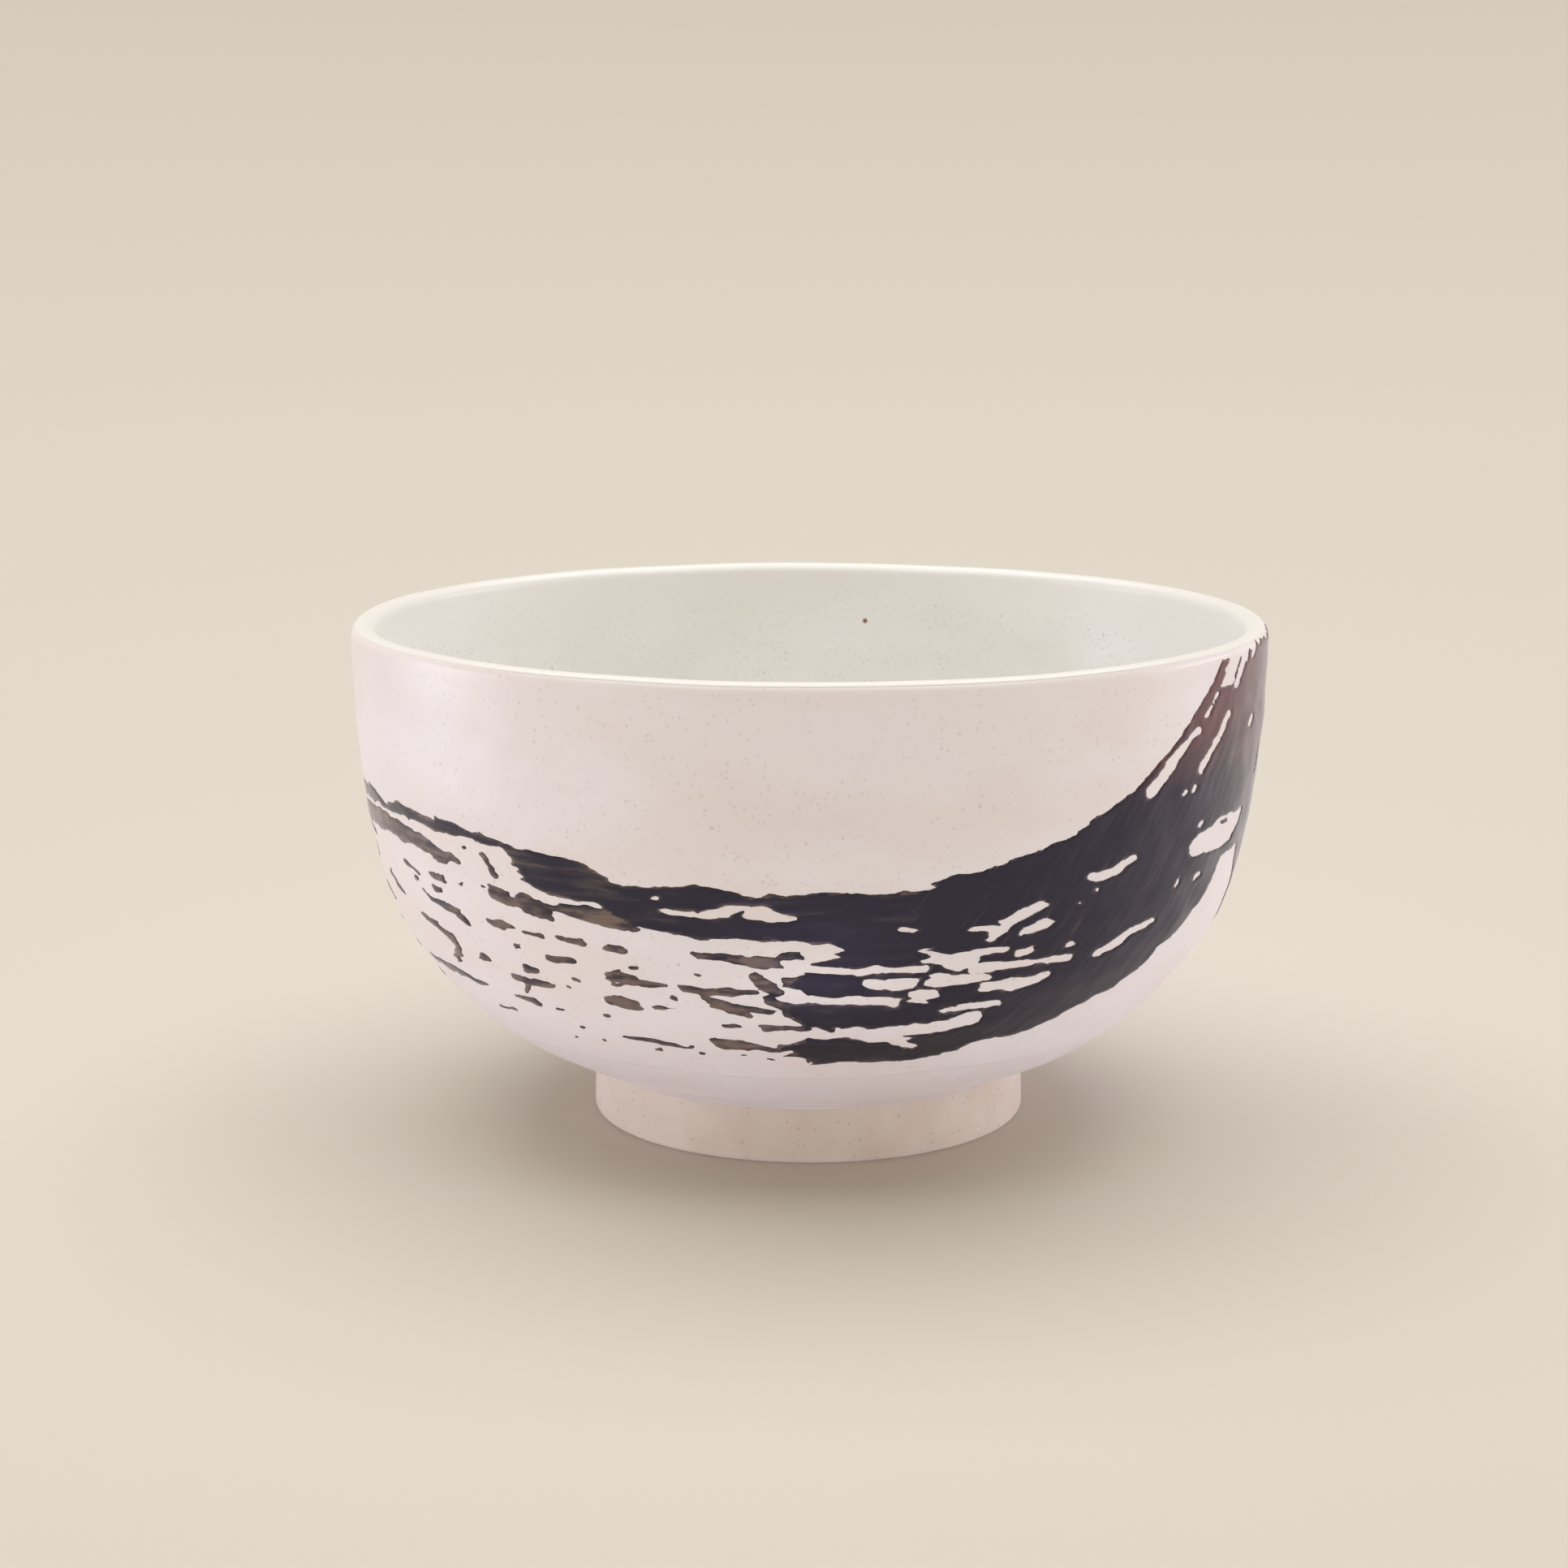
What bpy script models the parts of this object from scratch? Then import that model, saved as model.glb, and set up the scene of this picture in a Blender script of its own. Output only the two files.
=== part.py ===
"""Matcha bowl: a thrown stoneware bowl on a luted foot ring, glazed inside and out.

The glaze poured inside rolls over the lip and laps down the outside, where it meets the outer
coat. One wide brush stroke of iron glaze lies on top of both, from the lip down and round the belly.
Metres, +Z up. The origin is on the bowl's axis, in the plane that the foot rests on.
Angles go round the bowl from the front, which is -Y, towards +X.
"""

from math import cos, pi, radians, sin

import bmesh
import bpy
from mathutils import Vector

# Overall sizes
RIM_RADIUS = 0.0600  # outside the glaze, at the lip
BOWL_HEIGHT = 0.0667
FOOT_RADIUS = 0.0288
FOOT_HEIGHT = 0.0085

# Walls and layers
LIP_THICKNESS = 0.0030  # over both glazes
BASE_THICKNESS = 0.0060  # over both glazes, where the wall leaves the foot
FLOOR_THICKNESS = 0.0052  # over the inner glaze, at the centre
GLAZE = 0.0004
STROKE_FILM = 0.00025
GAP = 0.0003  # clearance that keeps touching solids apart
LIP_LAP = 0.0028  # how far the inner glaze comes down the outside, below the lip

# Foot ring
RING_WIDTH = 0.0048
RING_TAPER = 0.0008  # the inside of the ring narrows by this much towards the top
RING_ROUNDING = 0.0011

# The outer curve in two stretches that meet at the hip, with the lengths of its Bezier handles
HIP_RADIUS = 0.0542
HIP_HEIGHT = 0.0285
BELLY_SLOPE = radians(7.6)  # where the wall leaves the foot
HIP_SLOPE = radians(63.0)
BELLY_HANDLES = (0.0122, 0.0079)
WALL_HANDLES = (0.0085, 0.0136)
BELLY_STEPS = 6
WALL_STEPS = 5
LIP_STEPS = 4
FLOOR_STEPS = 4
ROUNDING_STEPS = 3

# Outline of the brush stroke: degrees round from the front, and share of the wall's height. Its
# solid is cut by a slab whose faces lie at these shares of the rim radius from the axis.
STROKE_TOP = (
    (-118, 0.50), (-95, 0.59), (-72, 0.66), (-50, 0.65), (-32, 0.62), (-22, 0.57), (0, 0.57),
    (14, 0.58), (28, 0.65), (38, 0.71), (46, 0.80), (53, 0.90), (60, 1.00), (118, 1.00),
)
STROKE_BOTTOM = (
    (-118, 0.36), (-95, 0.25), (-60, 0.21), (-30, 0.18), (0, 0.16), (20, 0.17), (31, 0.20),
    (44, 0.28), (54, 0.37), (80, 0.33), (95, 0.42), (108, 0.62), (118, 0.85),
)
CUTTER_INSIDE = 0.3
CUTTER_OUTSIDE = 1.3
CUTTER_STEPS = 58

SEGMENTS = 48  # facets round the bowl, a multiple of 4 so that every layer's facets line up
MERGE_DISTANCE = 1e-7


def clear_scene():
    for old in list(bpy.data.objects):
        bpy.data.objects.remove(old, do_unlink=True)


def finish(name, colour, roughness):
    """A fired surface: its colour and roughness, with no metal in it."""
    material = bpy.data.materials.new(name)
    material.use_nodes = True
    shader = material.node_tree.nodes["Principled BSDF"]
    shader.inputs["Base Color"].default_value = (*colour, 1.0)
    shader.inputs["Roughness"].default_value = roughness
    shader.inputs["Metallic"].default_value = 0.0
    return material


def bezier(start, leave, arrive, end, steps):
    """Points along a cubic Bezier, both ends included."""
    points = []
    for i in range(steps + 1):
        t = i / steps
        outer = start * (1 - t) ** 3 + end * t**3
        points.append(outer + leave * 3 * (1 - t) ** 2 * t + arrive * 3 * (1 - t) * t**2)
    return points


def lip_centre():
    """Centre of the half-round lip, in the (radius, height) plane."""
    return Vector((RIM_RADIUS - LIP_THICKNESS / 2, BOWL_HEIGHT - LIP_THICKNESS / 2))


def outer_curve():
    """The outside from the foot to where the lip's rounding starts, as (radius, height) points."""
    foot = Vector((FOOT_RADIUS, FOOT_HEIGHT + GAP))
    hip = Vector((HIP_RADIUS, HIP_HEIGHT))
    lip = Vector((RIM_RADIUS, lip_centre().y))
    belly_way = Vector((cos(BELLY_SLOPE), sin(BELLY_SLOPE)))
    hip_way = Vector((cos(HIP_SLOPE), sin(HIP_SLOPE)))
    belly = bezier(
        foot, foot + belly_way * BELLY_HANDLES[0], hip - hip_way * BELLY_HANDLES[1], hip, BELLY_STEPS
    )
    wall = bezier(hip, hip + hip_way * WALL_HANDLES[0], lip - Vector((0, WALL_HANDLES[1])), lip, WALL_STEPS)
    return belly + wall[1:]


def inward(curve):
    """Unit vectors square to the curve, pointing into the wall."""
    ways = []
    for i in range(len(curve)):
        along = curve[min(i + 1, len(curve) - 1)] - curve[max(i - 1, 0)]
        ways.append(Vector((-along.y, along.x)).normalized())
    ways[-1] = Vector((-1, 0))  # the wall meets the lip upright
    return ways


def layer(curve, depth_at_foot, depth_at_lip):
    """The curve moved into the wall, by a depth that changes evenly from the foot to the lip."""
    last = len(curve) - 1
    return [
        point + way * (depth_at_foot + (depth_at_lip - depth_at_foot) * i / last)
        for i, (point, way) in enumerate(zip(curve, inward(curve)))
    ]


def lip_arc(radius):
    """The half round over the lip, from outside to inside, without its two ends."""
    centre = lip_centre()
    angles = [pi * i / LIP_STEPS for i in range(1, LIP_STEPS)]
    return [centre + Vector((cos(a), sin(a))) * radius for a in angles]


def floor_curve(wall_end, centre_height):
    """From the foot of the inner wall to the bowl's axis: a shallow well, level at the centre."""
    reach = wall_end.x / 3
    leave = wall_end - Vector((reach, (wall_end.y - centre_height) / 2))
    return bezier(wall_end, leave, Vector((reach, centre_height)), Vector((0, centre_height)), FLOOR_STEPS)


def inside_curve(extra):
    """The inner surface from the lip down to the axis, moved by extra towards the clay."""
    wall = layer(outer_curve(), BASE_THICKNESS - extra, LIP_THICKNESS - extra)
    wall.reverse()
    centre_height = FOOT_HEIGHT + GAP + FLOOR_THICKNESS - extra
    return wall + floor_curve(wall[-1], centre_height)[1:]


def below_lip(curve, drop):
    """Splits the outer curve drop below the top of the bowl: (points under it, point, points above it)."""
    height = BOWL_HEIGHT - drop
    under = [p for p in curve if p.y < height - MERGE_DISTANCE]
    above = [p for p in curve if p.y > height + MERGE_DISTANCE]
    a = under[-1]
    b = above[0]
    return under, a.lerp(b, (height - a.y) / (b.y - a.y)), above


def turned(name, outline, closed, material):
    """A solid of revolution about Z. An outline that starts and ends on the axis isn't closed."""
    bm = bmesh.new()
    ring = [bm.verts.new((point.x, 0, point.y)) for point in outline]
    ends = ring[1:] + ring[:1] if closed else ring[1:]
    edges = [bm.edges.new(pair) for pair in zip(ring, ends)]
    bmesh.ops.spin(
        bm, geom=ring + edges, cent=(0, 0, 0), axis=(0, 0, 1), angle=2 * pi, steps=SEGMENTS, use_merge=True
    )
    bmesh.ops.remove_doubles(bm, verts=bm.verts, dist=MERGE_DISTANCE)
    bmesh.ops.recalc_face_normals(bm, faces=bm.faces)
    return placed(name, bm, material)


def placed(name, bm, material):
    """Makes the finished mesh into an object of the scene, shaded smooth apart from its hard edges."""
    mesh = bpy.data.meshes.new(name)
    bm.to_mesh(mesh)
    bm.free()
    if material:
        mesh.materials.append(material)
    mesh.shade_smooth()
    mesh.set_sharp_from_angle(angle=radians(35))
    thing = bpy.data.objects.new(name, mesh)
    bpy.context.scene.collection.objects.link(thing)
    return thing


def make_bowl_body(clay):
    """The thrown clay: a level base, the wall, a rounded lip and the floor."""
    skin = GLAZE + GAP
    outside = layer(outer_curve(), skin, skin)
    base_height = FOOT_HEIGHT + GAP
    base = [Vector((0, base_height)), Vector((outside[0].x - skin, base_height))]
    lip = lip_arc(LIP_THICKNESS / 2 - skin)
    return turned("bowl_body", base + outside + lip + inside_curve(skin), False, clay)


def make_foot_ring(clay):
    """The ring under the base, with its two resting edges rounded."""
    inner = FOOT_RADIUS - RING_WIDTH
    outline = [Vector((FOOT_RADIUS, FOOT_HEIGHT)), Vector((inner - RING_TAPER, FOOT_HEIGHT))]
    for corner, turn in ((inner, pi), (FOOT_RADIUS, 1.5 * pi)):
        side = RING_ROUNDING if corner == inner else -RING_ROUNDING
        centre = Vector((corner + side, RING_ROUNDING))
        for i in range(ROUNDING_STEPS + 1):
            angle = turn + pi / 2 * i / ROUNDING_STEPS
            outline.append(centre + Vector((cos(angle), sin(angle))) * RING_ROUNDING)
    return turned("foot_ring", outline, True, clay)


def make_outer_glaze(glaze):
    """The coat outside, from the foot's joint up to where the inner glaze laps over the lip."""
    under, top, _ = below_lip(outer_curve(), LIP_LAP + GAP)
    outside = under + [top]
    under_skin = layer(outside, GLAZE, GLAZE)
    under_skin.reverse()
    return turned("outer_glaze", outside + under_skin, True, glaze)


def make_inner_glaze(glaze):
    """The coat inside: over the floor, up the wall, over the lip and a little way down the outside."""
    _, lap, above = below_lip(outer_curve(), LIP_LAP)
    lapped = [lap] + above
    faces_out = lapped + lip_arc(LIP_THICKNESS / 2) + inside_curve(0)
    faces_clay = layer(lapped, GLAZE, GLAZE) + lip_arc(LIP_THICKNESS / 2 - GLAZE) + inside_curve(GLAZE)
    faces_out.reverse()
    return turned("inner_glaze", faces_out + faces_clay, False, glaze)


def height_share(edge, degrees):
    """The stroke's edge at an angle, read between the points of its outline."""
    for (a, share_a), (b, share_b) in zip(edge, edge[1:]):
        if degrees <= b:
            return share_a + (share_b - share_a) * (degrees - a) / (b - a)
    return edge[-1][1]


def stroke_outline_cutter():
    """A curved slab through the wall, with the outline that the stroke has seen from outside."""
    lowest = outer_curve()[0].y
    highest = lip_centre().y + GAP
    first = STROKE_TOP[0][0]
    last = STROKE_TOP[-1][0]
    bm = bmesh.new()
    sections = []
    for i in range(CUTTER_STEPS + 1):
        degrees = first + (last - first) * i / CUTTER_STEPS
        low, high = (
            lowest + (highest - lowest) * height_share(edge, degrees)
            for edge in (STROKE_BOTTOM, STROKE_TOP)
        )
        outwards = Vector((sin(radians(degrees)), -cos(radians(degrees))))
        near = outwards * RIM_RADIUS * CUTTER_INSIDE
        far = outwards * RIM_RADIUS * CUTTER_OUTSIDE
        corners = ((near, low), (far, low), (far, high), (near, high))
        sections.append([bm.verts.new((*place, height)) for place, height in corners])
    for left, right in zip(sections, sections[1:]):
        for k in range(4):
            bm.faces.new((left[k], left[k - 1], right[k - 1], right[k]))
    bm.faces.new(sections[0])
    bm.faces.new(sections[-1])
    bmesh.ops.recalc_face_normals(bm, faces=bm.faces)
    cutter = placed("stroke_outline", bm, None)
    cutter.hide_render = True
    cutter.display_type = "WIRE"
    return cutter


def make_brush_stroke(iron):
    """The iron glaze as one even film on the outside, cut to the outline of the whole stroke."""
    under = layer(outer_curve(), -GAP, -GAP)
    top = layer(outer_curve(), -GAP - STROKE_FILM, -GAP - STROKE_FILM)
    top.reverse()
    film = turned("brush_stroke", under + top, True, iron)
    outline = film.modifiers.new("outline", "BOOLEAN")
    outline.operation = "INTERSECT"
    outline.object = stroke_outline_cutter()
    return film


def main():
    clear_scene()
    clay = finish("stoneware", (0.60, 0.50, 0.42), 0.85)
    white = finish("white_glaze", (0.80, 0.76, 0.73), 0.30)
    grey_white = finish("grey_white_glaze", (0.74, 0.73, 0.67), 0.28)
    iron = finish("iron_glaze", (0.020, 0.018, 0.020), 0.25)
    make_bowl_body(clay)
    make_foot_ring(clay)
    make_outer_glaze(white)
    make_inner_glaze(grey_white)
    make_brush_stroke(iron)


main()
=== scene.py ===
"""A matcha bowl: thrown stoneware on a luted foot ring, white glazes, and a brush stroke of iron glaze.

Metres, +Z up, and the origin on the bowl's axis where the foot rests. Angles go round the bowl in
degrees from the front, which is -Y, towards +X.
"""

from math import cos, pi, radians, sin

import bpy
import numpy as np
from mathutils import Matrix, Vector


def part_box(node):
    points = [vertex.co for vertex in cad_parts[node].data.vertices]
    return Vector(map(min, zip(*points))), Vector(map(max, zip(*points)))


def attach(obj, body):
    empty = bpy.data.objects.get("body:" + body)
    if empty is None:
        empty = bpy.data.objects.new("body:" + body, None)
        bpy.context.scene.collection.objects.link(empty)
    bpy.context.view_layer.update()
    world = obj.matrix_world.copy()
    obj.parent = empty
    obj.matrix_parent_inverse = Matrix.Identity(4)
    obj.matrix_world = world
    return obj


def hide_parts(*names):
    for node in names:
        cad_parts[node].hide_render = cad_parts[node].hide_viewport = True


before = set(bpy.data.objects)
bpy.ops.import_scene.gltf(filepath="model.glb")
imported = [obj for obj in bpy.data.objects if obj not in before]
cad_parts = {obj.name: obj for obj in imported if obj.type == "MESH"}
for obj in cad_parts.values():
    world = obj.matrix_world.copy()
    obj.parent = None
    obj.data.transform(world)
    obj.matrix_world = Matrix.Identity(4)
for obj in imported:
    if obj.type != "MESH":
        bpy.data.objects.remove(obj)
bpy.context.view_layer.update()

# ---- Thrown body -----------------------------------------------------------------------------------
# The bowl as it comes off the wheel: iron-bearing stoneware, with the wall drawn up thin, a shallow
# well for the tea in its floor, and a base trimmed upside down. It shows only inside the foot ring.

MM = 0.001
rim_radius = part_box("inner_glaze")[1].x
bowl_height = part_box("inner_glaze")[1].z
foot_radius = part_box("foot_ring")[1].x
foot_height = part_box("foot_ring")[1].z
lip_thickness = 3.0 * MM
base_thickness = 6.0 * MM
floor_thickness = 5.2 * MM
clay_below_glaze = 0.6 * MM
hip_radius = 0.9033 * rim_radius  # where the belly turns into the wall
hip_height = 28.5 * MM
hip_slope = radians(63)
base_slope = radians(7.6)  # of the belly where it leaves the foot
turns_around = 320  # facets round a turned piece, about 1.2 mm each at the lip
lip_centre = Vector((rim_radius - lip_thickness / 2, bowl_height - lip_thickness / 2))


def bezier(start, leave, arrive, end, steps):
    """Points along a curve, both ends included."""
    points = []
    for step in range(steps + 1):
        t = step / steps
        outer = start * (1 - t) ** 3 + end * t**3
        points.append(outer + leave * 3 * (1 - t) ** 2 * t + arrive * 3 * (1 - t) * t**2)
    return points


def wall_outside():
    """The glazed outside from the foot to the lip, as (radius, height) points."""
    foot = Vector((foot_radius, foot_height))
    hip = Vector((hip_radius, hip_height))
    lip = Vector((rim_radius, lip_centre.y))
    hip_way = Vector((cos(hip_slope), sin(hip_slope)))
    from_foot = Vector((cos(base_slope), sin(base_slope))) * 12.2 * MM
    below_hip = hip_way * 7.9 * MM
    above_hip = hip_way * 8.5 * MM
    below_lip = Vector((0, 13.6 * MM))
    belly = bezier(foot, foot + from_foot, hip - below_hip, hip, 44)
    return belly + bezier(hip, hip + above_hip, lip - below_lip, lip, 40)[1:]


def deeper(line, at_start, at_end):
    """A line of (radius, height) points moved to its left, by a depth that changes evenly along it."""
    moved = []
    for i, point in enumerate(line):
        along = line[min(i + 1, len(line) - 1)] - line[max(i - 1, 0)]
        way = Vector((-along.y, along.x)).normalized()
        moved.append(point + way * (at_start + (at_end - at_start) * i / (len(line) - 1)))
    return moved


def over_lip(depth, steps=14):
    """The half round over the lip from outside to inside, without its ends."""
    radius = lip_thickness / 2 - depth
    turns = [pi * i / steps for i in range(1, steps)]
    return [lip_centre + Vector((cos(a), sin(a))) * radius for a in turns]


def inside_line(depth):
    """The inside from the lip down to the axis, some depth under the surface of the glaze."""
    wall = deeper(wall_outside(), base_thickness - depth, lip_thickness - depth)[::-1]
    foot_of_wall = wall[-1]
    floor = foot_height + floor_thickness - depth
    reach = foot_of_wall.x / 3
    leave = foot_of_wall - Vector((reach, (foot_of_wall.y - floor) / 2))
    well = bezier(foot_of_wall, leave, Vector((reach, floor)), Vector((0, floor)), 30)
    return wall + well[1:]


def pick(piece):
    """Makes a piece the only selected one, and the active one."""
    bpy.ops.object.select_all(action="DESELECT")
    piece.select_set(True)
    bpy.context.view_layer.objects.active = piece


def turn(name, hidden, shown):
    """Turns a piece on the wheel from its outline of (radius, height) points, hidden side first.

    The points of the side that shows go in the vertex group "shown".
    """
    start = hidden[0]
    bpy.ops.object.select_all(action="DESELECT")
    bpy.ops.mesh.primitive_plane_add(size=MM, location=(start.x, 0, start.y))
    piece = bpy.context.object
    piece.name = piece.data.name = name
    piece.vertex_groups.new(name="shown")
    bpy.ops.object.mode_set(mode="EDIT")
    bpy.ops.mesh.merge(type="CENTER")
    for here, after in zip(hidden + shown, (hidden + shown)[1:]):
        step = (after.x - here.x, 0, after.y - here.y)
        bpy.ops.mesh.extrude_region_move(TRANSFORM_OT_translate={"value": step})
        if after == shown[0]:
            bpy.context.scene.tool_settings.vertex_group_weight = 1.0
            bpy.ops.object.vertex_group_assign()
    bpy.ops.mesh.select_all(action="SELECT")
    bpy.ops.mesh.spin(steps=turns_around, angle=2 * pi, center=(0, 0, 0), axis=(0, 0, 1))
    bpy.ops.mesh.select_all(action="SELECT")
    bpy.ops.mesh.remove_doubles(threshold=0.003 * MM)
    bpy.ops.mesh.normals_make_consistent(inside=False)
    bpy.ops.object.mode_set(mode="OBJECT")
    bpy.ops.object.transform_apply()
    bpy.ops.object.shade_smooth()
    return piece


def unevenness(piece, name, size, depth, group="shown", way="NORMAL"):
    """Moves a group of a piece's points in soft swells of a size along X, Y and Z."""
    bpy.ops.object.empty_add()
    guide = bpy.context.object
    guide.scale = size
    swells = bpy.data.textures.new(name, "CLOUDS")
    swells.noise_basis = "IMPROVED_PERLIN"
    swells.noise_scale = 1.0
    swells.noise_depth = 1
    pick(piece)
    shove = piece.modifiers.new(name, "DISPLACE")
    shove.texture = swells
    shove.texture_coords = "OBJECT"
    shove.texture_coords_object = guide
    shove.strength = depth
    shove.mid_level = 0.5
    shove.direction = way
    shove.vertex_group = group
    bpy.context.view_layer.update()
    bpy.ops.object.modifier_apply(modifier=name)
    bpy.data.objects.remove(guide)


def ease_off(piece, level, reach, group="shown"):
    """Lets a group's unevenness die away towards a height, where the piece meets another."""
    weights = piece.vertex_groups[group]
    for point in piece.data.vertices:
        if any(held.group == weights.index for held in point.groups):
            share = min(abs(point.co.z - level) / reach, 1.0)
            weights.add([point.index], weights.weight(point.index) * share, "REPLACE")


def colour(code):
    """An sRGB hex colour as linear red, green, blue and alpha."""
    parts = [int(code[i : i + 2], 16) / 255 for i in (1, 3, 5)]
    return (*[c / 12.92 if c <= 0.04045 else ((c + 0.055) / 1.055) ** 2.4 for c in parts], 1.0)


def node(material, kind, settings=None, inputs=None):
    """Adds a node with its own settings. An input is a value, or the output that feeds it."""
    made = material.node_tree.nodes.new(kind)
    for name, value in (settings or {}).items():
        setattr(made, name, value)
    for name, value in (inputs or {}).items():
        if isinstance(value, bpy.types.NodeSocket):
            material.node_tree.links.new(value, made.inputs[name])
        else:
            made.inputs[name].default_value = value
    return made


# The trimming tool leaves a small nub in the middle of the base and shallow grooves round it.
base_radius = foot_radius - 6.2 * MM
base_level = foot_height + 0.25 * MM
nub_radius = 3.2 * MM
trimmed = [Vector((0, foot_height - 0.9 * MM)), Vector((nub_radius * 0.5, foot_height - 0.75 * MM))]
grooves = 6
points_per_groove = 5
groove_depth = 0.07 * MM
for step in range(grooves * points_per_groove + 1):
    out = nub_radius + (base_radius - nub_radius) * step / (grooves * points_per_groove)
    groove = groove_depth * cos(2 * pi * step / points_per_groove)
    trimmed.append(Vector((out, base_level + groove)))
clay_outside = deeper(wall_outside(), clay_below_glaze, clay_below_glaze)
clay_outside[0].y = foot_height + 0.2 * MM
unseen = (clay_outside + over_lip(clay_below_glaze) + inside_line(clay_below_glaze))[::-1]
body = turn("clay_body", unseen, trimmed[::-1])
unevenness(body, "trimming_marks", (9 * MM, 9 * MM, 9 * MM), 0.25 * MM)

# Bare fired stoneware: open and matt, a pale pinkish buff from its iron, in flushes about 7 mm wide. It
# has a few dark grains of grit about 0.3 mm across, and a tooth of about 0.35 mm.
clay = bpy.data.materials.new("bare_stoneware")
clay.use_nodes = True
clay_shader = clay.node_tree.nodes["Principled BSDF"]
place = node(clay, "ShaderNodeTexCoord").outputs["Object"]
flush = node(clay, "ShaderNodeTexNoise", None, {"Vector": place, "Scale": 140.0, "Detail": 6.0})
tone = node(clay, "ShaderNodeValToRGB", None, {"Fac": flush.outputs["Fac"]})
tone.color_ramp.elements[0].position = 0.35
tone.color_ramp.elements[0].color = colour("#E6D8CD")
tone.color_ramp.elements[1].position = 0.65
tone.color_ramp.elements[1].color = colour("#EDE2D9")
grit = node(clay, "ShaderNodeTexVoronoi", None, {"Vector": place, "Scale": 1400.0})
grit_edge = node(
    clay, "ShaderNodeMapRange", None,
    {"Value": grit.outputs["Distance"], "From Min": 0.14, "From Max": 0.34, "To Min": 1.0, "To Max": 0.0},
)
grit_choice = node(clay, "ShaderNodeSeparateColor", None, {"Color": grit.outputs["Color"]})
few = node(
    clay, "ShaderNodeMath", {"operation": "GREATER_THAN"}, {0: grit_choice.outputs["Red"], 1: 0.80}
)
shows = node(
    clay, "ShaderNodeMath", {"operation": "MULTIPLY"}, {0: few.outputs[0], 1: grit_edge.outputs[0]}
)
softer = node(clay, "ShaderNodeMath", {"operation": "MULTIPLY"}, {0: shows.outputs[0], 1: 0.28})
gritty = node(
    clay, "ShaderNodeMix", {"data_type": "RGBA"},
    {0: softer.outputs[0], 6: tone.outputs["Color"], 7: colour("#86705E")},
)
grain = node(clay, "ShaderNodeTexNoise", None, {"Vector": place, "Scale": 2800.0, "Detail": 2.0})
tooth = node(
    clay, "ShaderNodeBump", None,
    {"Height": grain.outputs["Fac"], "Strength": 0.35, "Distance": 0.08 * MM},
)
clay.node_tree.links.new(gritty.outputs[2], clay_shader.inputs["Base Color"])
clay.node_tree.links.new(tooth.outputs["Normal"], clay_shader.inputs["Normal"])
clay_shader.inputs["Roughness"].default_value = 0.78
clay_shader.inputs["IOR"].default_value = 1.5
body.data.materials.append(clay)
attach(body, "root")
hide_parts("bowl_body")

# ---- Foot ring -------------------------------------------------------------------------------------
# The low ring that the bowl stands on, luted to the base and turned true with it. It is wiped clean
# of glaze, and its resting edges are rounded with a wet finger.

ring_inner = 24.0 * MM  # radius of the hollow inside the ring, where it meets the mat
ring_taper = 0.8 * MM
outer_rounding = 1.2 * MM
inner_rounding = 1.0 * MM


def quarter(centre, radius, first, steps=8):
    """A quarter turn about a centre, from an angle in degrees."""
    angles = [radians(first + 90 * i / steps) for i in range(steps + 1)]
    return [centre + Vector((cos(a), sin(a))) * radius for a in angles]


top_of_ring = foot_height + 0.15 * MM
joint = [Vector((foot_radius - 0.2 * MM, top_of_ring)), Vector((ring_inner - ring_taper, top_of_ring))]
inner_side = [joint[1].lerp(Vector((ring_inner, inner_rounding)), i / 10) for i in range(1, 10)]
edges = quarter(Vector((ring_inner + inner_rounding, inner_rounding)), inner_rounding, 180)
edges += quarter(Vector((foot_radius - outer_rounding, outer_rounding)), outer_rounding, 270)
outer_side = [edges[-1].lerp(joint[0], i / 14) for i in range(1, 15)]
ring = turn("foot_ring_clay", joint, inner_side + edges + outer_side)
ease_off(ring, foot_height, 4 * MM)
ease_off(ring, 0, 2 * MM)
unevenness(ring, "finger_marks", (14 * MM, 14 * MM, 5 * MM), 0.30 * MM)
ring.data.materials.append(clay)
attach(ring, "root")
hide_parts("foot_ring")

# ---- Outer glaze -----------------------------------------------------------------------------------
# A thick warm white glaze poured over the outside. It follows the throwing ridges under it. Its second
# coat stops in a wavy edge low on the belly, and the first one thins out over the top of the foot.

outer_skin = 0.5 * MM
wash_skin = 0.14 * MM
fillet = 1.0 * MM
second_coat = 15.6 * MM
second_coat_step = 0.13 * MM


def swells(x, y, seed):
    """Smooth random heights between -1 and 1, about one swell for each unit of x and y."""
    heights = np.random.default_rng(seed).uniform(-1, 1, (512, 512))
    column, row = np.floor(x).astype(int), np.floor(y).astype(int)
    s, t = x - column, y - row
    s, t = s * s * (3 - 2 * s), t * t * (3 - 2 * t)

    def at(i, j):
        return heights[(row + j) % 512, (column + i) % 512]

    return (at(0, 0) * (1 - s) + at(1, 0) * s) * (1 - t) + (at(0, 1) * (1 - s) + at(1, 1) * s) * t


def waves(angle, count, seed):
    """Random waves round the bowl between -1 and 1, about a count of them in a full turn."""
    return swells(angle / (2 * pi) * count + 256, np.full(len(angle), seed + 0.5), seed)


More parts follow.
